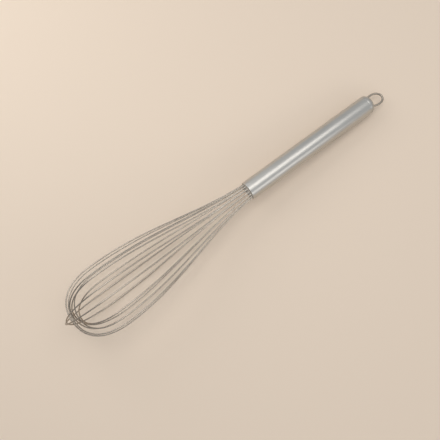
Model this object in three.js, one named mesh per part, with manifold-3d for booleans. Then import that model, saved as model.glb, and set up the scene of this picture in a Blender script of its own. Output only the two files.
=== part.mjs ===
// Balloon whisk with a tubular steel handle.
//
// Eight spring wire loops nest inside one another at the tip. Their sixteen ends stand in the flutes of a core
// and of a seal, which fill the handle's mouth. A pressed cap closes the butt, and a hanging loop is clinched
// through it.
//
// Sizes are in millimetres. The whisk is drawn along +Y, with the handle's mouth at y = 0 and the tip above it.
// It is then laid along +X on a table, on two wires of its belly and on the heel of its handle.

import * as THREE from "three";
import { mergeVertices } from "three/addons/utils/BufferGeometryUtils.js";
import Module from "manifold-3d";

const wasm = await Module();
wasm.setup();

// Gap between pieces that are pressed, bonded or hooked together on the real whisk
const CLEARANCE = 0.3;

// Handle tube
const HANDLE_DIAMETER = 15;
const HANDLE_LENGTH = 122; // from the mouth to the cap's crown
const TUBE_WALL = 0.7;
const RIM_ROUND = 0.25;

// End cap: a domed head as wide as the tube, and a spigot that stands inside it
const CAP_SHOULDER = 4.5;
const CAP_RIM = 0.6;
const CAP_WALL = 0.7;
const CAP_SPIGOT = 7;

// Hanging loop: two legs through the cap, and a bow that was bent a little to one side
const HANGER_WIRE = 1.6;
const HANGER_SPREAD = 8; // between the legs' centres
const HANGER_TIGHT_RUN = 14.8; // how far each leg's direction pulls the bow out, and across
const HANGER_TIGHT_FLARE = 5.9;
const HANGER_LAZY_RUN = 14.2;
const HANGER_LAZY_FLARE = 2.5;
const HANGER_BEND = 1.2; // centreline radius of the clinched feet
const HANGER_FOOT_GAP = 2.2; // between the tips of the feet

// Wire loops: the teardrop that each one follows, to the wire's centre
const WIRE = 1;
const WIRE_SET_DEPTH = 24; // how far the ends stand inside the mouth
const NECK_RUN = 49;
const NECK_FLARE = 3.5; // how far the neck opens over that run
const BELLY_FROM_MOUTH = 127;
const BELLY_RADIUS = 25.6;
const BELLY_RUN = 46;
const TIP_DEPTH = 26.1; // from the belly to the innermost loop's apex
const TIP_FULLNESS = 0.64; // 0.55 is an ellipse, and more is blunter

// Wire loops in their order round the mouth: the turn about the axis at the belly, in degrees from upright,
// how far the belly leans to one side, and the place in the nest at the tip, from the innermost
const LOOPS = [
  { clock: 143, lean: 2.2, place: 0 },
  { clock: 124, lean: 1.2, place: 1 },
  { clock: 107, lean: 1.6, place: 4 },
  { clock: 95, lean: 1.6, place: 5 },
  { clock: 43, lean: 2.2, place: 3 },
  { clock: 33, lean: 1.7, place: 2 },
  { clock: 9, lean: 1.1, place: 6 },
  { clock: -13.5, lean: 0, place: 7 },
];
const MOUTH_TURN = -5.6; // of the evenly spaced wires in the mouth, in degrees
const PROUD_LOOPS = 2; // the outermost loops stand clear of the nest
const PROUD_GAP = 2;

// Core and seal in the mouth
const SEAL_RECESS = 0.5;
const SEAL_LENGTH = 3;
const CORE_OVERRUN = 1.3; // past the wire ends

// Fineness of the facets
const ROUND_SEGMENTS = 40;
const ARC_STEPS = 3;
const WIRE_SIDES = 8;
const HANGER_SIDES = 8;
const HANGER_STEPS = 44;
const WIRE_STEPS = [2, 12, 14]; // along the set end, the neck and the tip

const HANDLE_RADIUS = HANDLE_DIAMETER / 2;
const BORE_RADIUS = HANDLE_RADIUS - TUBE_WALL;
const SET_RADIUS = BORE_RADIUS - CLEARANCE - WIRE / 2;
const PLUG_RADIUS = BORE_RADIUS - CLEARANCE;
const FLUTE_RADIUS = WIRE / 2 + CLEARANCE;
const NEST_PITCH = WIRE + CLEARANCE;
const LOOP_PITCH = Math.PI / LOOPS.length;
const CROWN = -HANDLE_LENGTH;
const CAP_SEAT = CROWN + CAP_SHOULDER + CAP_RIM;
const CAP_BORE = PLUG_RADIUS - CAP_WALL;
const CAP_INNER_SHOULDER = CAP_SHOULDER - CAP_WALL;
const HANGER_HOLE = HANGER_WIRE / 2 + CLEARANCE;

const STEEL_TUBE = new THREE.MeshStandardMaterial({ color: 0xb4b2ad, metalness: 1, roughness: 0.34 });
const STEEL_CAP = new THREE.MeshStandardMaterial({ color: 0xaeaca8, metalness: 1, roughness: 0.36 });
const STEEL_WIRE = new THREE.MeshStandardMaterial({ color: 0xa9a69f, metalness: 1, roughness: 0.26 });
const NYLON = new THREE.MeshStandardMaterial({ color: 0x3a3936, metalness: 0, roughness: 0.7 });
const RESIN = new THREE.MeshStandardMaterial({ color: 0x85827c, metalness: 0, roughness: 0.45 });

// Solid of a closed geometry, for cutting.
function solidOf(geometry) {
  const bare = geometry.clone();
  bare.deleteAttribute("normal");
  bare.deleteAttribute("uv");
  const merged = mergeVertices(bare, 1e-4);
  const vertProperties = new Float32Array(merged.attributes.position.array);
  const triVerts = new Uint32Array(merged.index.array);
  return new wasm.Manifold(new wasm.Mesh({ numProp: 3, vertProperties, triVerts }));
}

// Geometry of a solid, with a normal for each flat face.
function geometryOf(solid) {
  const { vertProperties, triVerts } = solid.getMesh();
  const geometry = new THREE.BufferGeometry();
  geometry.setAttribute("position", new THREE.BufferAttribute(vertProperties, 3));
  geometry.setIndex(new THREE.BufferAttribute(triVerts, 1));
  const flat = geometry.toNonIndexed();
  flat.computeVertexNormals();
  return flat;
}

function piece(name, geometry, material) {
  const mesh = new THREE.Mesh(geometry, material);
  mesh.name = name;
  return mesh;
}

// Polygon that stands for a round wire's section.
function wireSection(diameter, sides) {
  const corners = Array.from({ length: sides }, (_, i) => {
    const turn = (2 * Math.PI * i) / sides;
    return new THREE.Vector2(Math.cos(turn), Math.sin(turn)).multiplyScalar(diameter / 2);
  });
  return new THREE.Shape(corners);
}

function sweep(section, extrudePath, steps) {
  return new THREE.ExtrudeGeometry(section, { extrudePath, steps, bevelEnabled: false });
}

// Handle tube: a plain tube whose mouth has a broken edge inside and out.
function handleTube() {
  const heel = CAP_SEAT + CLEARANCE;
  const profile = new THREE.Path();
  profile.moveTo(BORE_RADIUS, heel);
  profile.lineTo(HANDLE_RADIUS, heel);
  profile.lineTo(HANDLE_RADIUS, -RIM_ROUND);
  profile.absarc(HANDLE_RADIUS - RIM_ROUND, -RIM_ROUND, RIM_ROUND, 0, Math.PI / 2);
  profile.absarc(BORE_RADIUS + RIM_ROUND, -RIM_ROUND, RIM_ROUND, Math.PI / 2, Math.PI);
  profile.lineTo(BORE_RADIUS, heel);
  return new THREE.LatheGeometry(profile.getPoints(ARC_STEPS), ROUND_SEGMENTS);
}

// Height of the cap's inner face at a distance from the axis: a flat crown, then the shoulder's inside.
function capInside(radius) {
  const flat = CAP_BORE - CAP_INNER_SHOULDER;
  const out = Math.max(radius - flat, 0);
  const drop = Math.sqrt(CAP_INNER_SHOULDER ** 2 - out ** 2);
  return CROWN + CAP_WALL + CAP_INNER_SHOULDER - drop;
}

// End cap: a pressed cup, with a hole for each leg of the hanging loop.
function endCap() {
  const flat = HANDLE_RADIUS - CAP_SHOULDER;
  const shoulderY = CROWN + CAP_SHOULDER;
  const spigotEnd = CAP_SEAT + CAP_SPIGOT;
  const innerFlat = CAP_BORE - CAP_INNER_SHOULDER;
  const innerShoulderY = capInside(CAP_BORE);
  const profile = new THREE.Path();
  profile.moveTo(0, CROWN);
  profile.lineTo(flat, CROWN);
  profile.absarc(flat, shoulderY, CAP_SHOULDER, -Math.PI / 2, 0);
  profile.lineTo(HANDLE_RADIUS, CAP_SEAT);
  profile.lineTo(PLUG_RADIUS, CAP_SEAT);
  profile.lineTo(PLUG_RADIUS, spigotEnd);
  profile.lineTo(CAP_BORE, spigotEnd);
  profile.lineTo(CAP_BORE, innerShoulderY);
  profile.absarc(innerFlat, innerShoulderY, CAP_INNER_SHOULDER, 0, -Math.PI / 2, true);
  profile.lineTo(0, capInside(0));
  const cup = solidOf(new THREE.LatheGeometry(profile.getPoints(ARC_STEPS + 1), ROUND_SEGMENTS));
  const drill = new THREE.CylinderGeometry(HANGER_HOLE, HANGER_HOLE, 2 * CAP_SHOULDER, 2 * HANGER_SIDES);
  const drilled = [-1, 1].reduce((cap, side) => {
    const hole = drill.clone().translate((side * HANGER_SPREAD) / 2, CROWN, 0);
    return cap.subtract(solidOf(hole));
  }, cup);
  return geometryOf(drilled);
}

// A flat outline taken as a curve in space, in the plane of the whisk's axis.
class FlatLine extends THREE.Curve {
  constructor(outline) {
    super();
    this.outline = outline;
  }

  getPoint(t, target = new THREE.Vector3()) {
    const { x, y } = this.outline.getPoint(t);
    return target.set(x, y, 0);
  }
}

// Hanging loop: a bow outside the cap, two legs through it, and a foot on each leg bent in behind the crown.
function hangingLoop() {
  const leg = HANGER_SPREAD / 2;
  const tip = HANGER_FOOT_GAP / 2;
  const foot = capInside(leg - HANGER_HOLE) + CLEARANCE + HANGER_WIRE / 2;
  const outline = new THREE.Path();
  outline.moveTo(-tip, foot);
  outline.lineTo(-leg + HANGER_BEND, foot);
  outline.quadraticCurveTo(-leg, foot, -leg, foot - HANGER_BEND);
  outline.lineTo(-leg, CROWN);
  outline.bezierCurveTo(
    -leg - HANGER_TIGHT_FLARE,
    CROWN - HANGER_TIGHT_RUN,
    leg + HANGER_LAZY_FLARE,
    CROWN - HANGER_LAZY_RUN,
    leg,
    CROWN,
  );
  outline.lineTo(leg, foot - HANGER_BEND);
  outline.quadraticCurveTo(leg, foot, leg - HANGER_BEND, foot);
  outline.lineTo(tip, foot);
  return sweep(wireSection(HANGER_WIRE, HANGER_SIDES), new FlatLine(outline), HANGER_STEPS);
}

// Centreline of one wire loop. It leaves the mouth in its own flute, turns a little to its place round the
// belly, crosses the axis at its apex and comes back down the other side.
class LoopLine extends THREE.Curve {
  constructor(mouthClock, bellyClock, lean, apex) {
    super();
    this.mouthClock = mouthClock;
    this.bellyClock = bellyClock;
    this.lean = lean;
    const point = (offAxis, alongAxis) => new THREE.Vector2(offAxis, alongAxis);
    const tipLength = apex - BELLY_FROM_MOUTH;
    this.stretches = [
      new THREE.LineCurve(point(SET_RADIUS, -WIRE_SET_DEPTH), point(SET_RADIUS, 0)),
      new THREE.CubicBezierCurve(
        point(SET_RADIUS, 0),
        point(SET_RADIUS + NECK_FLARE, NECK_RUN),
        point(BELLY_RADIUS, BELLY_FROM_MOUTH - BELLY_RUN),
        point(BELLY_RADIUS, BELLY_FROM_MOUTH),
      ),
      new THREE.CubicBezierCurve(
        point(BELLY_RADIUS, BELLY_FROM_MOUTH),
        point(BELLY_RADIUS, BELLY_FROM_MOUTH + TIP_FULLNESS * tipLength),
        point(TIP_FULLNESS * BELLY_RADIUS, apex),
        point(0, apex),
      ),
    ];
  }

  getPoint(t, target = new THREE.Vector3()) {
    const halfSteps = LoopLine.steps / 2;
    let step = halfSteps * (1 - Math.abs(2 * t - 1));
    let i = 0;
    while (i < WIRE_STEPS.length - 1 && step > WIRE_STEPS[i]) {
      step -= WIRE_STEPS[i];
      i += 1;
    }
    const { x: offAxis, y } = this.stretches[i].getPoint(Math.min(step / WIRE_STEPS[i], 1));
    const turned = THREE.MathUtils.smoothstep(y, 0, BELLY_FROM_MOUTH);
    const clock = THREE.MathUtils.lerp(this.mouthClock, this.bellyClock, turned);
    const signed = t < 0.5 ? offAxis : -offAxis;
    return target.set(signed * Math.sin(clock) - this.lean * turned, y, signed * Math.cos(clock));
  }

  // Stations follow the drawn stretches, so that the tip has more of them than the straight ends.
  getUtoTmapping(u) {
    return u;
  }

  static get steps() {
    return 2 * WIRE_STEPS.reduce((sum, n) => sum + n, 0);
  }
}

// One line for each loop. The flutes are evenly spaced round the mouth.
function loopLines() {
  const count = LOOPS.length;
  const firstClock = (count - 1.5) * LOOP_PITCH + THREE.MathUtils.degToRad(MOUTH_TURN);
  return LOOPS.map(({ clock, lean, place }, i) => {
    const proud = place >= count - PROUD_LOOPS ? PROUD_GAP : 0;
    const apex = BELLY_FROM_MOUTH + TIP_DEPTH + place * NEST_PITCH + proud;
    return new LoopLine(firstClock - i * LOOP_PITCH, THREE.MathUtils.degToRad(clock), lean, apex);
  });
}

// Round plug with a flute in its side for each wire end, from startY towards the tip.
function flutedPlug(startY, length) {
  const reach = PLUG_RADIUS ** 2 + SET_RADIUS ** 2 - FLUTE_RADIUS ** 2;
  const halfFlute = Math.acos(reach / (2 * PLUG_RADIUS * SET_RADIUS));
  const mouthAngle = Math.asin((PLUG_RADIUS * Math.sin(halfFlute)) / FLUTE_RADIUS);
  const section = new THREE.Shape();
  const flutes = 2 * LOOPS.length;
  for (let i = 0; i < flutes; i += 1) {
    const middle = (i + 0.5) * LOOP_PITCH;
    const [x, y] = [SET_RADIUS * Math.cos(middle), SET_RADIUS * Math.sin(middle)];
    section.absarc(x, y, FLUTE_RADIUS, middle - mouthAngle, middle + mouthAngle, true);
    section.absarc(0, 0, PLUG_RADIUS, middle + halfFlute, middle + LOOP_PITCH - halfFlute, false);
  }
  const options = { depth: length, curveSegments: ARC_STEPS, bevelEnabled: false };
  const plug = new THREE.ExtrudeGeometry(section, options);
  plug.rotateX(-Math.PI / 2).rotateY(THREE.MathUtils.degToRad(MOUTH_TURN));
  return plug.translate(0, startY, 0);
}

// Slope of the table under the whisk: it touches the handle's heel and the lowest wires.
function restingTilt(lines) {
  const heelY = CROWN + CAP_SHOULDER;
  const slopes = lines.flatMap((line) =>
    line
      .getPoints(4 * LoopLine.steps)
      .map((p) => Math.atan2(WIRE / 2 - p.z - HANDLE_RADIUS, p.y - heelY)),
  );
  return Math.max(...slopes);
}

function buildWhisk() {
  const lines = loopLines();
  const sealStart = -SEAL_RECESS - SEAL_LENGTH;
  const coreStart = -WIRE_SET_DEPTH - CORE_OVERRUN;
  const coreLength = sealStart - CLEARANCE - coreStart;
  const drawn = new THREE.Group();
  drawn.add(
    piece("handle_tube", handleTube(), STEEL_TUBE),
    piece("end_cap", endCap(), STEEL_CAP),
    piece("hanging_loop", hangingLoop(), STEEL_WIRE),
    piece("wire_core", flutedPlug(coreStart, coreLength), NYLON),
    piece("mouth_seal", flutedPlug(sealStart, SEAL_LENGTH), RESIN),
  );
  const section = wireSection(WIRE, WIRE_SIDES);
  lines.forEach((line, i) => {
    drawn.add(piece(`wire_loop_${i + 1}`, sweep(section, line, LoopLine.steps), STEEL_WIRE));
  });
  drawn.rotation.z = -Math.PI / 2;

  const laid = new THREE.Group();
  laid.add(drawn);
  laid.rotation.y = -restingTilt(lines);
  return laid;
}

// The origin is under the middle of the whisk, on the table.
function stand(laid) {
  const whisk = new THREE.Group();
  whisk.add(laid);
  whisk.updateMatrixWorld(true);
  const box = new THREE.Box3().setFromObject(laid, true);
  const middle = box.getCenter(new THREE.Vector3());
  laid.position.set(-middle.x, -middle.y, -box.min.z);
  return whisk;
}

export default stand(buildWhisk());
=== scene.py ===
"""Balloon whisk on a pale table: the visual model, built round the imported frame.

The whisk is drawn along +Y with the mouth of its handle at the origin, and every piece is then laid where the
packed handle lies. Sizes are in metres.
"""

import logging
import math
from dataclasses import dataclass, field
from enum import Enum
from typing import Any

import bmesh
import bpy
import numpy as np
from mathutils import Matrix, Vector


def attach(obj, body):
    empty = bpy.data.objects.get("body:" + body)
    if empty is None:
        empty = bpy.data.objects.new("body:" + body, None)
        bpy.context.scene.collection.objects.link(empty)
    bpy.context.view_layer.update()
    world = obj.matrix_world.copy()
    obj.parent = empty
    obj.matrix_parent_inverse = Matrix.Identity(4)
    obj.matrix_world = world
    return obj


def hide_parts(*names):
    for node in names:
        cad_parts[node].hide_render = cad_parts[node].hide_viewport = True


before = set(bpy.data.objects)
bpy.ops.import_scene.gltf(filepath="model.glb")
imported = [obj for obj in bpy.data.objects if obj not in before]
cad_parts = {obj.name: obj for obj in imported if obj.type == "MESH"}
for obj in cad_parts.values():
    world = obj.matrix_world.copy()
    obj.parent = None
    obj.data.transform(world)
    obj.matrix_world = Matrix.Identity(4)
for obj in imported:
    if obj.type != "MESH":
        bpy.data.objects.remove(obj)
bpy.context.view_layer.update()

MM = 0.001
BODY = "root"
CORNER_DIGITS = 7
ON_AXIS = 1e-9

# Edges sharper than these angles stay creased, in degrees.
TURNED_CREASE = 34.0
WIRE_CREASE = 50.0
RESIN_CREASE = 60.0

# Inputs that every tree of a wire has.
WIRE_INPUTS = {"Wire": "NodeSocketFloat", "Sides": "NodeSocketInt", "Finish": "NodeSocketMaterial"}

Socket = bpy.types.NodeSocket
Colour = tuple[float, float, float]
Triple = tuple[float, float, float]
Span = tuple[float, float]
Outline = list[tuple[float, float]]

log = logging.getLogger("whisk")


class Slot(Enum):
    """Material slots of the record, one named for each kind of new piece; each piece gets a new finish of its
    own.
    """

    TUBE = "tube_steel"
    CAP = "cap_steel"
    HANGER = "hanger_steel"
    WIRE = "wire_steel"
    SEAL = "seal_resin"


class Grain(Enum):
    """Which way a turned piece's polishing lines run: lines a metre across its axis and along it."""

    ALONG = (5200.0, 60.0)
    AROUND = (160.0, 4200.0)


class Graph:
    """A node tree, with short calls that add nodes and join them."""

    def __init__(self, tree: bpy.types.NodeTree) -> None:
        """Starts from an empty tree."""
        self.tree = tree
        tree.nodes.clear()

    def add(self, kind: str, values: dict[str | int, Any] | None = None, **settings: Any) -> bpy.types.Node:
        """Adds one node.

        Args:
            kind: The node's type name.
            values: What each input socket holds or is joined to, by its name or number.
            **settings: The node's own properties.

        Returns:
            The new node.
        """
        node = self.tree.nodes.new(kind)
        for key, value in settings.items():
            setattr(node, key, value)
        for key, value in (values or {}).items():
            self.feed(node.inputs[key], value)
        return node

    def feed(self, socket: Socket, value: Any) -> None:
        """Joins a socket to another one, or sets its value.

        Args:
            socket: The input socket.
            value: An output socket, or a plain value.
        """
        if isinstance(value, Socket):
            self.tree.links.new(value, socket)
        else:
            socket.default_value = value

    def math(self, operation: str, *terms: Any) -> Socket:
        """Adds a math node on sockets or numbers and gives its result's socket."""
        return self.add("ShaderNodeMath", dict(enumerate(terms)), operation=operation).outputs[0]

    def vector(self, operation: str, *terms: Any) -> Socket:
        """Adds a vector math node on sockets or vectors and gives its result's socket."""
        return self.add("ShaderNodeVectorMath", dict(enumerate(terms)), operation=operation).outputs[0]

    def point(self, x: Any, y: Any, z: Any = 0.0) -> Socket:
        """Adds a vector made of three sockets or numbers and gives its socket."""
        return self.add("ShaderNodeCombineXYZ", {"X": x, "Y": y, "Z": z}).outputs[0]

    def ease(self, value: Any, low: Any, high: Any, start: Any = 0.0, end: Any = 1.0) -> Socket:
        """Adds a smooth step, from start at low to end at high, and gives its socket."""
        values = {"Value": value, "From Min": low, "From Max": high, "To Min": start, "To Max": end}
        return self.add("ShaderNodeMapRange", values, interpolation_type="SMOOTHSTEP").outputs["Result"]

    def noise(self, place: Socket, scale: float, layers: float, grit: float = 0.5) -> Socket:
        """Adds a noise of about 0 to 1, with finer layers of the given grit, and gives its socket."""
        values = {"Vector": place, "Scale": scale, "Detail": layers, "Roughness": grit}
        return self.add("ShaderNodeTexNoise", values).outputs["Fac"]

    def vary(self, base: Any, noise: Socket, reach: float) -> Socket:
        """Adds noise to a value, which a middling noise leaves as it is, and gives the sum's socket."""
        return self.math("MULTIPLY_ADD", self.math("SUBTRACT", noise, 0.5), reach, base)

    def blend(self, first: Socket, second: Socket, share: float) -> Socket:
        """Adds the mean of two values, of which the first has the given share, and gives its socket."""
        return self.math("MULTIPLY_ADD", first, share, self.math("MULTIPLY", second, 1.0 - share))

    def ramp(self, amount: Socket, first: Colour, second: Colour) -> Socket:
        """Adds a ramp from one colour to another.

        Args:
            amount: 0 for the first colour, 1 for the second.
            first: First colour, linear.
            second: Second colour, linear.

        Returns:
            The colour's socket.
        """
        ramp = self.add("ShaderNodeValToRGB", {"Fac": amount})
        ramp.color_ramp.elements[0].color = (*first, 1.0)
        ramp.color_ramp.elements[1].color = (*second, 1.0)
        return ramp.outputs["Color"]


@dataclass(frozen=True)
class Lay:
    """Where the whisk lies: its drawn frame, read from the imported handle."""

    mouth: Vector
    matrix: Matrix

    @classmethod
    def of_handle(cls, node: str = "handle_tube") -> "Lay":
        """Finds the handle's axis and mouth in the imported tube.

        Args:
            node: Name of the tube's node.

        Returns:
            The frame whose +Y runs along the whisk from the mouth to the tip.
        """
        corners = np.array([v.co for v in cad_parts[node].data.vertices], float)
        corners = np.unique(np.round(corners, CORNER_DIGITS), axis=0)
        middle = corners.mean(0)
        along = np.linalg.svd(corners - middle, full_matrices=False)[2][0]
        along *= np.sign(along[0])
        reach = (corners - middle) @ along
        mouth = Vector(middle + along * reach.max())
        up = Vector(along).cross(Vector((0.0, 1.0, 0.0)))
        up = up if up.z > 0 else -up
        up.normalize()
        forward = Vector(along).normalized()
        side = forward.cross(up)
        columns = Matrix((side, forward, up)).transposed()
        return cls(mouth, Matrix.Translation(mouth) @ columns.to_4x4())

    def local(self, graph: Graph) -> Socket:
        """Adds the drawn coordinates of a shaded point to a material.

        Args:
            graph: The material's nodes.

        Returns:
            Socket of the point in the drawn frame, in metres.
        """
        place = graph.add("ShaderNodeTexCoord").outputs["Object"]
        turn = self.matrix.to_euler("XYZ")
        values = {"Vector": place, "Location": self.mouth, "Rotation": turn}
        return graph.add("ShaderNodeMapping", values, vector_type="TEXTURE").outputs[0]


def new_material(name: str) -> tuple[bpy.types.Material, Graph, bpy.types.Node]:
    """Makes a material with a shader and its output.

    Args:
        name: Name of the material.

    Returns:
        The material, its nodes and its shader.
    """
    material = bpy.data.materials.new(name)
    material.use_nodes = True
    graph = Graph(material.node_tree)
    shader = graph.add("ShaderNodeBsdfPrincipled")
    graph.add("ShaderNodeOutputMaterial", {"Surface": shader.outputs[0]})
    return material, graph, shader


@dataclass(frozen=True)
class Relief:
    """How strongly the fine bumps of a finish show, and how deep they are."""

    strength: float
    depth: float

    def join(self, graph: Graph, shader: bpy.types.Node, height: Socket) -> None:
        """Gives a shader bumps of the given height, 0 to 1."""
        values = {"Height": height, "Strength": self.strength, "Distance": self.depth}
        graph.feed(shader.inputs["Normal"], graph.add("ShaderNodeBump", values).outputs[0])


@dataclass(frozen=True)
class TurnedSteel:
    """Satin stainless steel of a turned piece: polishing lines, smudges, a few scratches and a bright rim.

    Waves are counted a metre, along each drawn axis.
    """

    name: str
    grain: Grain
    light: Colour
    dark: Colour
    roughness: float
    spread: float
    rim: float
    rim_width: float = 1.4 * MM
    rim_gain: float = 0.15
    rim_gloss: float = -0.06
    smudge_waves: Triple = (70.0, 28.0, 70.0)
    smudge_spread: float = 0.8
    scratch_waves: Triple = (1300.0, 34.0, 1300.0)
    scratch_step: Span = (0.66, 0.72)
    scratch_shade: float = 0.12
    scratch_depth: float = 0.5
    grit: float = 0.6
    relief: Relief = Relief(0.12, 0.02 * MM)

    def material(self, lay: Lay) -> bpy.types.Material:
        """Builds the finish.

        Args:
            lay: Where the whisk lies.

        Returns:
            The material.
        """
        material, graph, shader = new_material(self.name)
        place = lay.local(graph)
        across, along = self.grain.value
        lines = self.streaks(graph, place, (across, along, across), layers=3.0)
        smudges = self.streaks(graph, place, self.smudge_waves, layers=2.0)
        hairs = self.streaks(graph, place, self.scratch_waves, layers=1.0)
        scratches = graph.ease(hairs, *self.scratch_step)
        height = graph.add("ShaderNodeSeparateXYZ", {"Vector": place}).outputs["Y"]
        worn = graph.ease(height, self.rim - self.rim_width, self.rim)
        tone = graph.blend(lines, smudges, 0.5)
        tone = graph.math("SUBTRACT", tone, graph.math("MULTIPLY", scratches, self.scratch_shade))
        tone = graph.math("MULTIPLY_ADD", worn, self.rim_gain, tone)
        graph.feed(shader.inputs["Base Color"], graph.ramp(tone, self.dark, self.light))
        rough = graph.vary(self.roughness, lines, self.spread)
        rough = graph.vary(rough, smudges, self.spread * self.smudge_spread)
        rough = graph.math("MULTIPLY_ADD", worn, self.rim_gloss, rough)
        graph.feed(shader.inputs["Roughness"], rough)
        grooves = graph.math("SUBTRACT", lines, graph.math("MULTIPLY", scratches, self.scratch_depth))
        self.relief.join(graph, shader, grooves)
        shader.inputs["Metallic"].default_value = 1.0
        return material

    def streaks(self, graph: Graph, place: Socket, waves: Triple, layers: float) -> Socket:
        """Adds noise with its own waves along each drawn axis and gives its socket."""
        return graph.noise(graph.vector("MULTIPLY", place, waves), 1.0, layers, self.grit)


@dataclass(frozen=True)
class DrawnWire:
    """Drawn steel wire: die lines along it, patches of uneven shine, and a painted sheen near the mouth, a
    lighter colour that stands for the reflection the neck wires catch there.

    Waves are counted a metre, apart from those round the wire, which are the radius of a circle in the noise.
    """

    name: str
    light: Colour
    dark: Colour
    roughness: float
    spread: float
    # Painted sheen: how much lighter the colour gets near the mouth, standing for a lamp's reflection on the
    # neck wires.
    painted_sheen: float
    painted_sheen_reach: Span = (4 * MM, 80 * MM)
    mouth_gloss: float = -0.1
    round_waves: float = 7.0
    along_waves: float = 90.0
    line_grit: float = 0.65
    line_share: float = 0.6
    patch_waves: float = 55.0
    relief: Relief = Relief(0.1, 0.01 * MM)

    def material(self, lay: Lay) -> bpy.types.Material:
        """Builds the finish.

        Args:
            lay: Where the whisk lies.

        Returns:
            The material.
        """
        material, graph, shader = new_material(self.name)
        place = lay.local(graph)
        along = graph.add("ShaderNodeAttribute", attribute_name="along").outputs["Fac"]
        around = graph.add("ShaderNodeAttribute", attribute_name="around").outputs["Fac"]
        turn = graph.math("MULTIPLY", around, math.tau)
        skin = graph.point(
            graph.math("MULTIPLY", graph.math("COSINE", turn), self.round_waves),
            graph.math("MULTIPLY", graph.math("SINE", turn), self.round_waves),
            graph.math("MULTIPLY", along, self.along_waves),
        )
        lines = graph.noise(skin, 1.0, layers=3.0, grit=self.line_grit)
        patches = graph.noise(place, self.patch_waves, layers=2.0)
        height = graph.add("ShaderNodeSeparateXYZ", {"Vector": place}).outputs["Y"]
        near, far = self.painted_sheen_reach
        # Painted sheen: the colour gets lighter towards the mouth, standing for a lamp's reflection on the
        # neck wires.
        bright = graph.ease(height, far, near, 0.0, self.painted_sheen)
        tone = graph.math("ADD", graph.blend(lines, patches, self.line_share), bright)
        graph.feed(shader.inputs["Base Color"], graph.ramp(tone, self.dark, self.light))
        rough = graph.vary(self.roughness, lines, self.spread)
        rough = graph.vary(rough, patches, self.spread)
        rough = graph.math("MULTIPLY_ADD", bright, self.mouth_gloss, rough)
        graph.feed(shader.inputs["Roughness"], rough)
        self.relief.join(graph, shader, lines)
        shader.inputs["Metallic"].default_value = 1.0
        return material


@dataclass(frozen=True)
class CastPlastic:
    """Resin or nylon inside the handle: mottled colour, specks and a slightly uneven skin."""

    name: str
    light: Colour
    dark: Colour
    roughness: float
    mottle: float
    relief: Relief
    speck_scale: float = 6.0
    speck_step: Span = (0.05, 0.3)
    speck_share: float = 0.3
    spread: float = 0.2

    def material(self, lay: Lay) -> bpy.types.Material:
        """Builds the finish.

        Args:
            lay: Where the whisk lies.

        Returns:
            The material.
        """
        material, graph, shader = new_material(self.name)
        place = lay.local(graph)
        clouds = graph.noise(place, self.mottle, layers=4.0)
        speck_values = {"Vector": place, "Scale": self.mottle * self.speck_scale}
        specks = graph.add("ShaderNodeTexVoronoi", speck_values).outputs["Distance"]
        tone = graph.blend(graph.ease(specks, *self.speck_step), clouds, self.speck_share)
        graph.feed(shader.inputs["Base Color"], graph.ramp(tone, self.dark, self.light))
        graph.feed(shader.inputs["Roughness"], graph.vary(self.roughness, clouds, self.spread))
        self.relief.join(graph, shader, clouds)
        return material


@dataclass(frozen=True)
class TableFinish:
    """Plain pale table top."""

    name: str
    colour: Colour
    roughness: float
    specular: float

    def material(self) -> bpy.types.Material:
        """Builds the plain finish.

        Returns:
            The material.
        """
        material, _, shader = new_material(self.name)
        shader.inputs["Base Color"].default_value = (*self.colour, 1.0)
        shader.inputs["Roughness"].default_value = self.roughness
        shader.inputs["Specular IOR Level"].default_value = self.specular
        return material


def place_mesh(name: str, mesh: bpy.types.Mesh, finish: bpy.types.Material) -> bpy.types.Object:
    """Puts a finished mesh in the scene as one object at the origin.

    Args:
        name: Name of the piece.
        mesh: Its mesh, in the row frame.
        finish: Its material.

    Returns:
        The new object.
    """
    mesh.name = name
    mesh.materials.clear()
    mesh.materials.append(finish)
    piece = bpy.data.objects.new(name, mesh)
    bpy.context.scene.collection.objects.link(piece)
    return piece


def settle(piece: bpy.types.Object, slot: Slot, *nodes: str) -> None:
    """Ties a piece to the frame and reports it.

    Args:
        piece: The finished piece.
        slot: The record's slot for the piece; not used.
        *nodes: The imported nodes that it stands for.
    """
    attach(piece, BODY)
    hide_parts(*nodes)
    log.info("%s: %d faces, for %s", piece.name, len(piece.data.polygons), ", ".join(nodes))


def arc(centre: Span, radius: float, start: float, end: float, steps: int) -> Outline:
    """Gives points along a circular arc.

    Args:
        centre: Centre of the circle.
        radius: Its radius.
        start: First angle in degrees.
        end: Last angle in degrees.
        steps: How many chords the arc has.

    Returns:
        The points, both ends included.
    """
    turns = np.radians(np.linspace(start, end, steps + 1))
    return [(centre[0] + radius * math.cos(t), centre[1] + radius * math.sin(t)) for t in turns]


def revolve(outline: Outline, segments: int, closed: bool) -> bpy.types.Mesh:
    """Turns an outline of (radius, height) points round the drawn +Y axis.

    Args:
        outline: The points, in metres.
        segments: How many steps there are round the axis.
        closed: Whether the outline runs back to its first point, or else starts and ends on the axis.

    Returns:
        A closed mesh in the drawn frame, with its faces outwards.
    """
    shape = bmesh.new()
    turns = [math.tau * i / segments for i in range(segments)]
    rings = []
    for radius, height in outline:
        if radius < ON_AXIS:
            rings.append([shape.verts.new((0.0, height, 0.0))] * segments)
        else:
            spots = [(radius * math.sin(t), height, radius * math.cos(t)) for t in turns]
            rings.append([shape.verts.new(spot) for spot in spots])
    following = rings[1:] + rings[:1] if closed else rings[1:]
    for lower, upper in zip(rings, following):
        for i in range(segments):
            j = (i + 1) % segments
            corners = dict.fromkeys((lower[i], lower[j], upper[j], upper[i]))
            if len(corners) > 2:
                shape.faces.new(list(corners))
    bmesh.ops.recalc_face_normals(shape, faces=shape.faces)
    mesh = bpy.data.meshes.new("turned")
    shape.to_mesh(mesh)
    shape.free()
    return mesh


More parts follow.
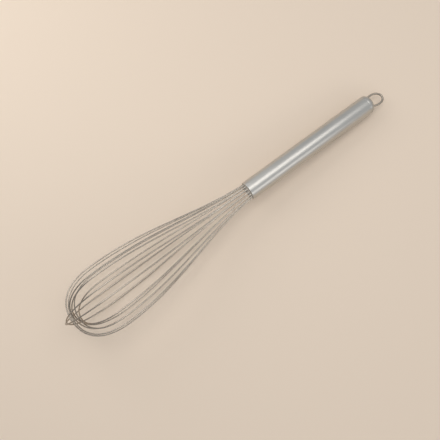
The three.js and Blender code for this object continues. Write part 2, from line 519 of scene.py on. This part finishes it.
def soften(mesh: bpy.types.Mesh, crease: float) -> bpy.types.Mesh:
    """Shades a mesh smooth, with its sharper edges kept.

    Args:
        mesh: The mesh to shade.
        crease: Edges above this angle, in degrees, stay sharp.

    Returns:
        The same mesh.
    """
    mesh.shade_smooth()
    mesh.set_sharp_from_angle(angle=math.radians(crease))
    return mesh


def weld(mesh: bpy.types.Mesh, gap: float = 0.001 * MM) -> bpy.types.Mesh:
    """Joins corners that a cut left almost on one another.

    Args:
        mesh: The mesh to mend.
        gap: Corners nearer than this become one.

    Returns:
        The same mesh.
    """
    shape = bmesh.new()
    shape.from_mesh(mesh)
    bmesh.ops.remove_doubles(shape, verts=shape.verts, dist=gap)
    bmesh.ops.dissolve_degenerate(shape, dist=gap, edges=shape.edges)
    shape.to_mesh(mesh)
    shape.free()
    return mesh


def new_wire_tree(name: str, start: str, *numbers: str) -> tuple[bpy.types.NodeTree, Graph, Any]:
    """Starts a geometry node tree that gives one wire.

    Args:
        name: Name of the tree.
        start: Name of the geometry that it starts from.
        *numbers: Names of its own sizes, beside the inputs of every wire.

    Returns:
        The tree, its nodes and its input sockets.
    """
    tree = bpy.data.node_groups.new(name, "GeometryNodeTree")
    inputs = {start: "NodeSocketGeometry", **WIRE_INPUTS, **dict.fromkeys(numbers, "NodeSocketFloat")}
    for label, kind in inputs.items():
        tree.interface.new_socket(label, in_out="INPUT", socket_type=kind)
    tree.interface.new_socket("Wire", in_out="OUTPUT", socket_type="NodeSocketGeometry")
    graph = Graph(tree)
    return tree, graph, graph.add("NodeGroupInput").outputs


def sweep_group() -> bpy.types.NodeTree:
    """Builds the node group that gives a curve the body of a round wire.

    Returns:
        The group, with the curve, the wire's width, its facets and its finish as inputs.
    """
    tree, graph, sizes = new_wire_tree("round wire along a curve", "Curve")
    length = graph.add("GeometryNodeSplineParameter").outputs["Length"]
    turn = graph.add("GeometryNodeSplineParameter").outputs["Factor"]
    marks = {"Geometry": sizes["Curve"], "Name": "along", "Value": length}
    path = graph.add("GeometryNodeStoreNamedAttribute", marks, data_type="FLOAT", domain="POINT")
    radius = graph.math("MULTIPLY", sizes["Wire"], 0.5)
    ring = graph.add("GeometryNodeCurvePrimitiveCircle", {"Resolution": sizes["Sides"], "Radius": radius})
    marks = {"Geometry": ring.outputs[0], "Name": "around", "Value": turn}
    section = graph.add("GeometryNodeStoreNamedAttribute", marks, data_type="FLOAT", domain="POINT")
    body_values = {"Curve": path.outputs[0], "Profile Curve": section.outputs[0], "Fill Caps": True}
    body = graph.add("GeometryNodeCurveToMesh", body_values)
    smooth = graph.add("GeometryNodeSetShadeSmooth", {0: body.outputs[0]})
    real = graph.add("GeometryNodeRealizeInstances", {0: smooth.outputs[0]})
    dressed = graph.add("GeometryNodeSetMaterial", {"Geometry": real.outputs[0], "Material": sizes["Finish"]})
    graph.add("NodeGroupOutput", {0: dressed.outputs[0]})
    return tree


def give_body(graph: Graph, sizes: Any, sweep: bpy.types.NodeTree, curve: Socket) -> None:
    """Ends a wire's tree with the group that gives its curve a body.

    Args:
        graph: The tree's nodes.
        sizes: The tree's input sockets.
        sweep: The group.
        curve: Socket of the wire's centre line.
    """
    body = graph.add("GeometryNodeGroup", node_tree=sweep)
    graph.feed(body.inputs["Curve"], curve)
    for label in WIRE_INPUTS:
        graph.feed(body.inputs[label], sizes[label])
    graph.add("NodeGroupOutput", {0: body.outputs[0]})


def run_tree(
    tree: bpy.types.NodeTree,
    start: bpy.types.Mesh,
    values: dict[str, Any],
    lay: Lay,
) -> bpy.types.Mesh:
    """Runs a geometry node tree once and keeps its result as a plain mesh.

    Args:
        tree: The tree.
        start: The mesh that it starts from.
        values: What each named input is set to.
        lay: Where the result is laid.

    Returns:
        The plain mesh, in the row frame.
    """
    carrier = bpy.data.objects.new("carrier", start)
    bpy.context.scene.collection.objects.link(carrier)
    modifier = carrier.modifiers.new("tree", "NODES")
    modifier.node_group = tree
    for item in tree.interface.items_tree:
        if item.in_out == "INPUT" and item.name in values:
            modifier[item.identifier] = values[item.name]
    depsgraph = bpy.context.evaluated_depsgraph_get()
    mesh = bpy.data.meshes.new_from_object(carrier.evaluated_get(depsgraph))
    carrier.modifiers.remove(modifier)
    bpy.data.objects.remove(carrier)
    mesh.transform(lay.matrix)
    return mesh


@dataclass(frozen=True)
class Handle:
    """Tube handle: a plain satin tube, open at the mouth, with a broken edge at each end."""

    diameter: float = 14.94 * MM
    wall: float = 0.7 * MM
    heel: float = -116.86 * MM
    rim: float = 0.3 * MM
    rim_steps: int = 6
    seam: float = 0.07 * MM
    seam_steps: int = 3
    segments: int = 192
    finish: TurnedSteel = TurnedSteel(
        name="satin tube steel",
        grain=Grain.ALONG,
        light=(0.675, 0.66, 0.62),
        dark=(0.48, 0.468, 0.44),
        roughness=0.38,
        spread=0.16,
        rim=0.0,
    )

    def outline(self) -> Outline:
        """Gives the section of the tube's wall, as (radius, height) points all the way round it.

        Returns:
            The points.
        """
        outer, inner = self.diameter / 2, self.diameter / 2 - self.wall
        return [
            (inner, self.heel),
            *arc((outer - self.seam, self.heel + self.seam), self.seam, -90, 0, self.seam_steps),
            *arc((outer - self.rim, -self.rim), self.rim, 0, 90, self.rim_steps),
            *arc((inner + self.rim, -self.rim), self.rim, 90, 180, self.rim_steps),
        ]

    def build(self, lay: Lay) -> None:
        """Builds and dresses the tube.

        Args:
            lay: Where the whisk lies.
        """
        mesh = soften(revolve(self.outline(), self.segments, closed=True), TURNED_CREASE)
        mesh.transform(lay.matrix)
        settle(place_mesh("handle_shell", mesh, self.finish.material(lay)), Slot.TUBE, "handle_tube")


@dataclass(frozen=True)
class HangingLoop:
    """Hanging loop: a bow that was bent a little to one side, two legs through the cap, and clinched feet."""

    wire: float = 1.57 * MM
    spread: float = 8.0 * MM
    tight_run: float = 14.8 * MM
    tight_flare: float = 5.9 * MM
    lazy_run: float = 14.2 * MM
    lazy_flare: float = 2.5 * MM
    bow_steps: int = 60
    bend: float = 1.2 * MM
    bend_steps: int = 8
    foot_gap: float = 2.2 * MM
    crown: float = -122 * MM
    foot: float = -119.6 * MM
    sides: int = 20
    finish: DrawnWire = DrawnWire(
        name="hanger wire steel",
        # Painted reflection: the warm brown of both colours stands for the table reflected in the wire.
        light=(0.5, 0.45, 0.385),
        dark=(0.2, 0.174, 0.145),
        roughness=0.28,
        spread=0.16,
        painted_sheen=0.0,
    )

    def path(self) -> list[Vector]:
        """Gives the centre line of the bent wire, from one foot to the other.

        Returns:
            The line's points.
        """
        leg, tip = self.spread / 2, self.foot_gap / 2
        bow = [
            Vector((-leg, self.crown, 0.0)),
            Vector((-leg - self.tight_flare, self.crown - self.tight_run, 0.0)),
            Vector((leg + self.lazy_flare, self.crown - self.lazy_run, 0.0)),
            Vector((leg, self.crown, 0.0)),
        ]
        line = [self.cubic(bow, i / self.bow_steps) for i in range(self.bow_steps + 1)]
        centre = (leg - self.bend, self.foot - self.bend)
        corner = [Vector((x, y, 0.0)) for x, y in arc(centre, self.bend, 0, 90, self.bend_steps)]
        right = [*corner, Vector((tip, self.foot, 0.0))]
        left = [Vector((-p.x, p.y, 0.0)) for p in reversed(right)]
        return left + line + right

    @staticmethod
    def cubic(stations: list[Vector], t: float) -> Vector:
        """Gives a point of a cubic curve.

        Args:
            stations: Its four control points.
            t: How far along it, 0 to 1.

        Returns:
            The point.
        """
        s = 1.0 - t
        weights = (s**3, 3 * s * s * t, 3 * s * t * t, t**3)
        return sum((w * p for w, p in zip(weights, stations)), Vector())

    def tree(self, sweep: bpy.types.NodeTree) -> bpy.types.NodeTree:
        """Builds the tree that turns a drawn line of edges into a wire.

        Args:
            sweep: The group that gives a curve its body.

        Returns:
            The tree.
        """
        tree, graph, sizes = new_wire_tree("bent wire", "Line")
        curve = graph.add("GeometryNodeMeshToCurve", {0: sizes["Line"]})
        give_body(graph, sizes, sweep, curve.outputs[0])
        return tree

    def build(self, lay: Lay, sweep: bpy.types.NodeTree) -> None:
        """Builds and dresses the loop.

        Args:
            lay: Where the whisk lies.
            sweep: The group that gives a curve its body.
        """
        points = self.path()
        line = bpy.data.meshes.new("hanger line")
        line.from_pydata(points, [(i, i + 1) for i in range(len(points) - 1)], [])
        finish = self.finish.material(lay)
        values = {"Wire": self.wire, "Sides": self.sides, "Finish": finish}
        mesh = soften(run_tree(self.tree(sweep), line, values, lay), WIRE_CREASE)
        settle(place_mesh("hanger_bow", mesh, finish), Slot.HANGER, "hanging_loop")


@dataclass(frozen=True)
class EndCap:
    """End cap: a pressed cup that closes the butt, with a punched hole for each leg of the hanging loop."""

    diameter: float = 14.94 * MM
    crown: float = -122 * MM
    shoulder: float = 4.5 * MM
    shoulder_steps: int = 18
    rim: float = 0.6 * MM
    wall: float = 0.7 * MM
    inside_steps: int = 12
    spigot: float = 7 * MM
    spigot_radius: float = 6.75 * MM
    seam: float = 0.07 * MM
    seam_steps: int = 3
    segments: int = 192
    hole: float = 0.95 * MM
    hole_edge: float = 0.18 * MM
    hole_segments: int = 48
    drill_outside: float = 3 * MM
    drill_inside: float = 2 * MM
    finish: TurnedSteel = TurnedSteel(
        name="satin cap steel",
        grain=Grain.AROUND,
        light=(0.615, 0.6, 0.565),
        dark=(0.43, 0.418, 0.392),
        roughness=0.42,
        spread=0.16,
        rim=-116.9 * MM,
    )

    def outline(self) -> Outline:
        """Gives half the section of the cup, from the crown's outside to its inside.

        Returns:
            The section, as (radius, height) points.
        """
        outer = self.diameter / 2
        seat = self.crown + self.shoulder + self.rim
        bore = self.spigot_radius - self.wall
        inner = self.shoulder - self.wall
        top = seat + self.spigot
        bend = (outer - self.shoulder, self.crown + self.shoulder)
        inner_bend = (bore - inner, self.crown + self.wall + inner)
        return [
            (0.0, self.crown),
            *arc(bend, self.shoulder, -90, 0, self.shoulder_steps),
            *arc((outer - self.seam, seat - self.seam), self.seam, 0, 90, self.seam_steps),
            (self.spigot_radius, seat),
            (self.spigot_radius, top),
            (bore, top),
            *arc(inner_bend, inner, 0, -90, self.inside_steps),
            (0.0, self.crown + self.wall),
        ]

    def drill(self, side: int, loop: HangingLoop, lay: Lay) -> bpy.types.Object:
        """Makes the cutter of one leg's hole, which breaks the hole's outer edge too.

        Args:
            side: -1 or 1.
            loop: The hanging loop.
            lay: Where the whisk lies.

        Returns:
            The cutter.
        """
        mouth = self.crown + self.dome(loop.spread / 2)
        start, end = mouth - self.drill_outside, mouth + self.drill_inside
        wide = self.hole + self.hole_edge
        outline = [
            (0.0, start),
            (wide * 2, start),
            (wide, mouth),
            (self.hole, mouth + self.hole_edge),
            (self.hole, end),
            (0.0, end),
        ]
        mesh = revolve(outline, self.hole_segments, closed=False)
        mesh.transform(lay.matrix @ Matrix.Translation((side * loop.spread / 2, 0.0, 0.0)))
        cutter = bpy.data.objects.new("drill", mesh)
        bpy.context.scene.collection.objects.link(cutter)
        return cutter

    def dome(self, radius: float) -> float:
        """Gives how far the cap's outside lies behind its crown at a distance from the axis."""
        out = max(radius - (self.diameter / 2 - self.shoulder), 0.0)
        return self.shoulder - math.sqrt(self.shoulder**2 - out**2)

    def build(self, lay: Lay, loop: HangingLoop) -> None:
        """Builds and dresses the cap.

        Args:
            lay: Where the whisk lies.
            loop: The hanging loop that goes through it.
        """
        blank = revolve(self.outline(), self.segments, closed=False)
        blank.transform(lay.matrix)
        carrier = bpy.data.objects.new("cap blank", blank)
        bpy.context.scene.collection.objects.link(carrier)
        cutters = [self.drill(side, loop, lay) for side in (-1, 1)]
        for cutter in cutters:
            cut = carrier.modifiers.new("hole", "BOOLEAN")
            cut.operation = "DIFFERENCE"
            cut.solver = "EXACT"
            cut.object = cutter
        depsgraph = bpy.context.evaluated_depsgraph_get()
        mesh = bpy.data.meshes.new_from_object(carrier.evaluated_get(depsgraph))
        for helper in (carrier, *cutters):
            bpy.data.objects.remove(helper)
        soften(weld(mesh), TURNED_CREASE)
        settle(place_mesh("cap_dome", mesh, self.finish.material(lay)), Slot.CAP, "end_cap")


@dataclass(frozen=True)
class Bend:
    """How one cage loop is bent: its turn at the belly in degrees, its lean and its place in the nest."""

    clock: float
    lean: float
    place: int


@dataclass(frozen=True)
class Cage:
    """Wire cage: spring wire loops that stand round the mouth, swell to a belly and nest at the tip."""

    wire: float = 0.95 * MM
    clearance: float = 0.35 * MM
    set_radius: float = 6.0 * MM
    set_depth: float = 24 * MM
    neck_run: float = 49 * MM
    neck_flare: float = 3.5 * MM
    belly: float = 127 * MM
    belly_radius: float = 25.54 * MM
    belly_run: float = 46 * MM
    tip_depth: float = 26.0 * MM
    fullness: float = 0.64
    mouth_turn: float = -5.6
    bends: tuple[Bend, ...] = (
        Bend(143.0, 2.2 * MM, 0),
        Bend(124.0, 1.2 * MM, 1),
        Bend(107.0, 1.6 * MM, 4),
        Bend(95.0, 1.6 * MM, 5),
        Bend(43.0, 2.2 * MM, 3),
        Bend(33.0, 1.7 * MM, 2),
        Bend(9.0, 1.1 * MM, 6),
        Bend(-13.5, 0.0, 7),
    )
    proud_loops: int = 2
    proud_gap: float = 2 * MM
    wobble: float = 0.1 * MM
    wobble_waves: float = 28.0
    seed_step: float = 3.7
    curve_steps: int = 96
    points: int = 260
    sides: int = 14
    finish: DrawnWire = DrawnWire(
        name="spring wire steel",
        # Painted reflection and painted shade: the brown tint of both colours and the near-black dark end
        # stand for the warm table and the shade reflected in the wires. The lighter skin near the mouth is
        # painted sheen.
        light=(0.61, 0.565, 0.5),
        dark=(0.1, 0.074, 0.052),
        roughness=0.22,
        spread=0.14,
        painted_sheen=0.4,
    )

    def mouth_clock(self, index: int) -> float:
        """Gives the turn from upright of one loop in the mouth, in radians."""
        pitch = 180.0 / len(self.bends)
        return math.radians((len(self.bends) - 1.5 - index) * pitch + self.mouth_turn)

    def apex(self, bend: Bend) -> float:
        """Gives the distance from the mouth to a loop's farthest point, on the wire's centre line."""
        proud = self.proud_gap if bend.place >= len(self.bends) - self.proud_loops else 0.0
        return self.belly + self.tip_depth + bend.place * (self.wire + self.clearance) + proud

    def ends(self) -> Outline:
        """Gives where the wires stand in the mouth.

        Returns:
            The drawn (x, z) point of each wire.
        """
        spots = []
        for index in range(len(self.bends)):
            clock = self.mouth_clock(index)
            x, z = self.set_radius * math.sin(clock), self.set_radius * math.cos(clock)
            spots += [(x, z), (-x, -z)]
        return spots

    def tree(self, sweep: bpy.types.NodeTree) -> bpy.types.NodeTree:
        """Builds the tree that bends one loop from its sizes.

        Args:
            sweep: The group that gives a curve its body.

        Returns:
            The tree.
        """
        numbers = (
            "Set Radius", "Set Depth", "Neck Run", "Neck Flare", "Belly", "Belly Radius", "Belly Run",
            "Apex", "Fullness", "Mouth Clock", "Belly Clock", "Lean", "Wobble", "Seed",
        )
        tree, graph, sizes = new_wire_tree("cage loop", "Geometry", *numbers)
        even_values = {"Curve": self.flat_loop(graph, sizes), "Count": self.points}
        even = graph.add("GeometryNodeResampleCurve", even_values, mode="COUNT")
        place_values = {0: even.outputs[0], "Position": self.turned(graph, sizes)}
        place = graph.add("GeometryNodeSetPosition", place_values)
        give_body(graph, sizes, sweep, place.outputs[0])
        return tree

    def flat_loop(self, graph: Graph, sizes: Any) -> Socket:
        """Adds the loop's flat outline: one curve through the two ends, mouths, bellies and the apex.

        Args:
            graph: The tree's nodes.
            sizes: The tree's input sockets.

        Returns:
            Socket of the flat curve, with the distance from the axis as x and from the mouth as y.
        """
        stand, belly, wide, apex = (sizes[label] for label in ("Set Radius", "Belly", "Belly Radius", "Apex"))
        sink = graph.math("MULTIPLY", sizes["Set Depth"], -1.0)
        flare = graph.math("ADD", stand, sizes["Neck Flare"])
        below = graph.math("SUBTRACT", belly, sizes["Belly Run"])
        tip = graph.math("SUBTRACT", apex, belly)
        above = graph.math("MULTIPLY_ADD", tip, sizes["Fullness"], belly)
        shoulder = graph.math("MULTIPLY", wide, sizes["Fullness"])
        # Each station of one side: its point, then where the curve comes from and where it goes to.
        stations = (
            ((stand, sink), (stand, sink), (stand, graph.math("MULTIPLY", sink, 2.0 / 3.0))),
            ((stand, 0.0), (stand, graph.math("MULTIPLY", sink, 1.0 / 3.0)), (flare, sizes["Neck Run"])),
            ((wide, belly), (wide, below), (wide, above)),
        )
        middle, before, after = ([graph.point(*spot) for spot in row] for row in zip(*stations))
        flip = (-1.0, 1.0, 1.0)
        mirrored = []
        for row in (middle, after, before):
            mirrored.append([graph.vector("MULTIPLY", point, flip) for point in reversed(row)])
        left = graph.point(shoulder, apex)
        right = graph.vector("MULTIPLY", left, flip)
        spots = [*middle, graph.point(0.0, apex), *mirrored[0]]
        lefts = [*before, left, *mirrored[1]]
        rights = [*after, right, *mirrored[2]]
        line = graph.add("GeometryNodeCurvePrimitiveLine")
        few_values = {"Curve": line.outputs[0], "Count": len(spots)}
        few = graph.add("GeometryNodeResampleCurve", few_values, mode="COUNT")
        kind = graph.add("GeometryNodeCurveSplineType", {"Curve": few.outputs[0]}, spline_type="BEZIER")
        free = graph.add("GeometryNodeCurveSetHandles", {"Curve": kind.outputs[0]}, handle_type="FREE")
        free.mode = {"LEFT", "RIGHT"}
        values = {0: free.outputs[0], "Position": self.by_index(graph, spots)}
        curve = graph.add("GeometryNodeSetPosition", values).outputs[0]
        for mode, row in (("LEFT", lefts), ("RIGHT", rights)):
            values = {"Curve": curve, "Position": self.by_index(graph, row)}
            curve = graph.add("GeometryNodeSetCurveHandlePositions", values, mode=mode).outputs[0]
        fine = graph.add("GeometryNodeSetSplineResolution", {0: curve, "Resolution": self.curve_steps})
        return fine.outputs[0]

    @staticmethod
    def by_index(graph: Graph, rows: list[Socket]) -> Socket:
        """Adds a choice of one vector for each point of a curve.

        Args:
            graph: The tree's nodes.
            rows: The vectors, in the points' order.

        Returns:
            Socket of the chosen vector.
        """
        index = graph.add("GeometryNodeInputIndex").outputs[0]
        choice = graph.add("GeometryNodeIndexSwitch", data_type="VECTOR")
        while len(choice.index_switch_items) < len(rows):
            choice.index_switch_items.new()
        graph.feed(choice.inputs["Index"], index)
        for i, row in enumerate(rows):
            graph.feed(choice.inputs[1 + i], row)
        return choice.outputs[0]

    def turned(self, graph: Graph, sizes: Any) -> Socket:
        """Adds the place of a flat loop's point once the loop is turned about the axis and bent by hand.

        Args:
            graph: The tree's nodes.
            sizes: The tree's input sockets.

        Returns:
            Socket of the point in the drawn frame.
        """
        here = graph.add("GeometryNodeInputPosition").outputs[0]
        split = graph.add("ShaderNodeSeparateXYZ", {0: here}).outputs
        off, height = split["X"], split["Y"]
        grown = graph.ease(height, 0.0, sizes["Belly"])
        clock = graph.ease(height, 0.0, sizes["Belly"], sizes["Mouth Clock"], sizes["Belly Clock"])
        lean = graph.math("MULTIPLY", grown, sizes["Lean"])
        x = graph.math("SUBTRACT", graph.math("MULTIPLY", off, graph.math("SINE", clock)), lean)
        z = graph.math("MULTIPLY", off, graph.math("COSINE", clock))
        values = {"Vector": here, "W": sizes["Seed"], "Scale": self.wobble_waves, "Detail": 1.0}
        noise = graph.add("ShaderNodeTexNoise", values, noise_dimensions="4D").outputs["Color"]
        centred = graph.vector("SUBTRACT", noise, (0.5, 0.5, 0.5))
        reach = graph.math("MULTIPLY", graph.math("MULTIPLY", grown, sizes["Wobble"]), 2.0)
        by_hand = graph.add("ShaderNodeVectorMath", {0: centred, "Scale": reach}, operation="SCALE")
        return graph.vector("ADD", graph.point(x, height, z), by_hand.outputs[0])

    def build(self, lay: Lay, sweep: bpy.types.NodeTree) -> None:
        """Builds and dresses each loop of the cage.

        Args:
            lay: Where the whisk lies.
            sweep: The group that gives a curve its body.
        """
        tree = self.tree(sweep)
        finish = self.finish.material(lay)
        for index, bend in enumerate(self.bends):
            values = {
                "Wire": self.wire,
                "Set Radius": self.set_radius,
                "Set Depth": self.set_depth,
                "Neck Run": self.neck_run,
                "Neck Flare": self.neck_flare,
                "Belly": self.belly,
                "Belly Radius": self.belly_radius,
                "Belly Run": self.belly_run,
                "Apex": self.apex(bend),
                "Fullness": self.fullness,
                "Mouth Clock": self.mouth_clock(index),
                "Belly Clock": math.radians(bend.clock),
                "Lean": bend.lean,
                "Wobble": self.wobble,
                "Seed": self.seed_step * index,
                "Sides": self.sides,
                "Finish": finish,
            }
            mesh = soften(run_tree(tree, bpy.data.meshes.new("start"), values, lay), WIRE_CREASE)
            piece = place_mesh(f"cage_wire_{index + 1}", mesh, finish)
            settle(piece, Slot.WIRE, f"wire_loop_{index + 1}")


@dataclass(frozen=True)
class MouthFilling:
    """What fills the mouth: a resin seal that has crept up round each wire, over a nylon core."""

    radius: float = 6.8 * MM
    top: float = -0.5 * MM
    bottom: float = -3.5 * MM
    creep: float = 0.35 * MM
    creep_reach: float = 0.35 * MM
    wall_creep: float = 0.15 * MM
    segments: int = 224
    rings: int = 34
    seal: CastPlastic = CastPlastic(
        name="cast resin",
        light=(0.59, 0.58, 0.555),
        dark=(0.45, 0.44, 0.42),
        roughness=0.42,
        mottle=420.0,
        relief=Relief(0.3, 0.05 * MM),
    )
    core: CastPlastic = CastPlastic(
        name="moulded nylon",
        light=(0.06, 0.058, 0.054),
        dark=(0.035, 0.034, 0.032),
        roughness=0.6,
        mottle=900.0,
        relief=Relief(0.3, 0.02 * MM),
    )

    def seal_mesh(self, cage: Cage) -> bpy.types.Mesh:
        """Shapes the seal: a disc whose top rises towards each wire and towards the tube's wall.

        Args:
            cage: The wire cage whose ends stand in the mouth.

        Returns:
            The mesh, in the drawn frame.
        """
        radii = self.radius * np.sqrt(np.linspace(0.0, 1.0, self.rings + 1))[1:]
        turns = np.linspace(0.0, math.tau, self.segments, endpoint=False)
        sines, cosines = np.sin(turns), np.cos(turns)
        spots = np.array(cage.ends())
        shape = bmesh.new()
        centre = shape.verts.new((0.0, self.top, 0.0))
        rings = []
        for radius in radii:
            x, z = radius * sines, radius * cosines
            gaps = np.hypot(x[:, None] - spots[:, 0], z[:, None] - spots[:, 1]) - cage.wire / 2
            rise = self.creep * np.exp(-np.maximum(gaps, 0.0) / self.creep_reach).max(1)
            rise = np.maximum(rise, self.wall_creep * math.exp(-(self.radius - radius) / self.creep_reach))
            rings.append([shape.verts.new((a, self.top + b, c)) for a, b, c in zip(x, rise, z)])
        foot = zip(self.radius * sines, self.radius * cosines)
        rings.append([shape.verts.new((x, self.bottom, z)) for x, z in foot])
        base = shape.verts.new((0.0, self.bottom, 0.0))
        for i in range(self.segments):
            j = (i + 1) % self.segments
            shape.faces.new((centre, rings[0][i], rings[0][j]))
            shape.faces.new((base, rings[-1][j], rings[-1][i]))
            for inner, outer in zip(rings, rings[1:]):
                shape.faces.new((inner[i], outer[i], outer[j], inner[j]))
        bmesh.ops.recalc_face_normals(shape, faces=shape.faces)
        mesh = bpy.data.meshes.new("seal")
        shape.to_mesh(mesh)
        shape.free()
        return mesh

    def build(self, lay: Lay, cage: Cage) -> None:
        """Builds the seal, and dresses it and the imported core.

        Args:
            lay: Where the whisk lies.
            cage: The wire cage whose ends stand in the mouth.
        """
        mesh = self.seal_mesh(cage)
        mesh.transform(lay.matrix)
        soften(mesh, RESIN_CREASE)
        settle(place_mesh("resin_seal", mesh, self.seal.material(lay)), Slot.SEAL, "mouth_seal")
        nylon = self.core.material(lay)
        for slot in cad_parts["wire_core"].material_slots:
            slot.material = nylon
        log.info("wire_core: packed node with a moulded nylon finish")


@dataclass(frozen=True)
class Softbox:
    """One soft lamp: where it stands from the middle of the table, and how large and bright it is."""

    name: str
    toward: Triple
    distance: float
    width: float
    height: float
    power: float
    tint: Colour

    def build(self) -> None:
        """Hangs the lamp, turned to the middle of the table."""
        data = bpy.data.lights.new(self.name, "AREA")
        data.shape = "RECTANGLE"
        data.size, data.size_y = self.width, self.height
        data.energy = self.power
        data.color = self.tint
        lamp = bpy.data.objects.new(self.name, data)
        lamp.location = Vector(self.toward).normalized() * self.distance
        back = lamp.location.normalized()
        across = back.cross(Vector((1.0, 0.0, 0.0))).normalized()
        lamp.rotation_euler = Matrix((across.cross(back), across, back)).transposed().to_euler()
        bpy.context.scene.collection.objects.link(lamp)


@dataclass(frozen=True)
class Studio:
    """Table, lamps, sky and camera."""

    table: TableFinish = TableFinish(
        name="pale table top",
        colour=(0.785, 0.655, 0.53),
        roughness=0.6,
        specular=0.25,
    )
    table_size: float = 6.0
    azimuth: float = 143.05
    elevation: float = 81.76
    distance: float = 0.456
    focal: float = 49.6
    sensor: float = 36.0
    sight: Span = (0.01, 50.0)
    target: Triple = (0.01432, 0.00318, 0.01505)
    sky: Colour = (0.93, 0.96, 1.0)
    sky_strength: float = 0.53
    lamps: tuple[Softbox, ...] = (
        Softbox("key softbox", (-0.22, -0.06, 0.93), 0.7, 0.8, 0.36, power=1.36, tint=(1.0, 0.97, 0.93)),
        Softbox("high lamp", (0.12, -0.3, 0.9), 0.9, 0.25, 0.25, power=0.5, tint=(1.0, 0.98, 0.95)),
        Softbox("window", (0.25, -0.78, 0.6), 0.52, 0.3, 0.3, power=0.6, tint=(1.0, 0.98, 0.95)),
        Softbox("side strip", (-0.15, 0.82, 0.45), 1.0, 0.9, 0.3, power=1.2, tint=(1.0, 0.98, 0.95)),
    )

    def build(self) -> None:
        """Builds the table, the lamps, the sky and the camera."""
        self.build_table()
        for lamp in self.lamps:
            lamp.build()
        self.build_sky()
        self.build_camera()

    def build_table(self) -> None:
        """Lays the table top under the whisk."""
        half = self.table_size / 2
        corners = [(-half, -half, 0), (half, -half, 0), (half, half, 0), (-half, half, 0)]
        mesh = bpy.data.meshes.new("table")
        mesh.from_pydata(corners, [], [(0, 1, 2, 3)])
        place_mesh("table_top", mesh, self.table.material())

    def build_sky(self) -> None:
        """Fills the room with an even soft light."""
        world = bpy.data.worlds.new("soft room")
        world.use_nodes = True
        graph = Graph(world.node_tree)
        values = {"Color": (*self.sky, 1.0), "Strength": self.sky_strength}
        room = graph.add("ShaderNodeBackground", values)
        graph.add("ShaderNodeOutputWorld", {"Surface": room.outputs[0]})
        bpy.context.scene.world = world

    def build_camera(self) -> None:
        """Sets the camera at the photograph's angle."""
        turn, rise = math.radians(self.azimuth), math.radians(self.elevation)
        back = Vector((math.sin(turn) * math.cos(rise), -math.cos(turn) * math.cos(rise), math.sin(rise)))
        data = bpy.data.cameras.new("camera")
        data.sensor_fit = "HORIZONTAL"
        data.sensor_width = self.sensor
        data.lens = self.focal
        data.clip_start, data.clip_end = self.sight
        camera = bpy.data.objects.new("camera", data)
        camera.location = Vector(self.target) + back * self.distance
        camera.rotation_euler = (-back).to_track_quat("-Z", "Y").to_euler()
        bpy.context.scene.collection.objects.link(camera)
        bpy.context.scene.camera = camera


@dataclass(frozen=True)
class Whisk:
    """The whole whisk."""

    handle: Handle = field(default_factory=Handle)
    cap: EndCap = field(default_factory=EndCap)
    loop: HangingLoop = field(default_factory=HangingLoop)
    cage: Cage = field(default_factory=Cage)
    filling: MouthFilling = field(default_factory=MouthFilling)

    def build(self, lay: Lay) -> None:
        """Builds every sub-assembly.

        Args:
            lay: Where the whisk lies.
        """
        sweep = sweep_group()
        self.handle.build(lay)
        self.cap.build(lay, self.loop)
        self.loop.build(lay, sweep)
        self.cage.build(lay, sweep)
        self.filling.build(lay, self.cage)


def main() -> None:
    """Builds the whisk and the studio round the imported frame."""
    logging.basicConfig(level=logging.INFO, format="%(name)s: %(message)s")
    bpy.context.scene.view_settings.view_transform = "Standard"
    Whisk().build(Lay.of_handle())
    Studio().build()


if __name__ == "__main__":
    main()
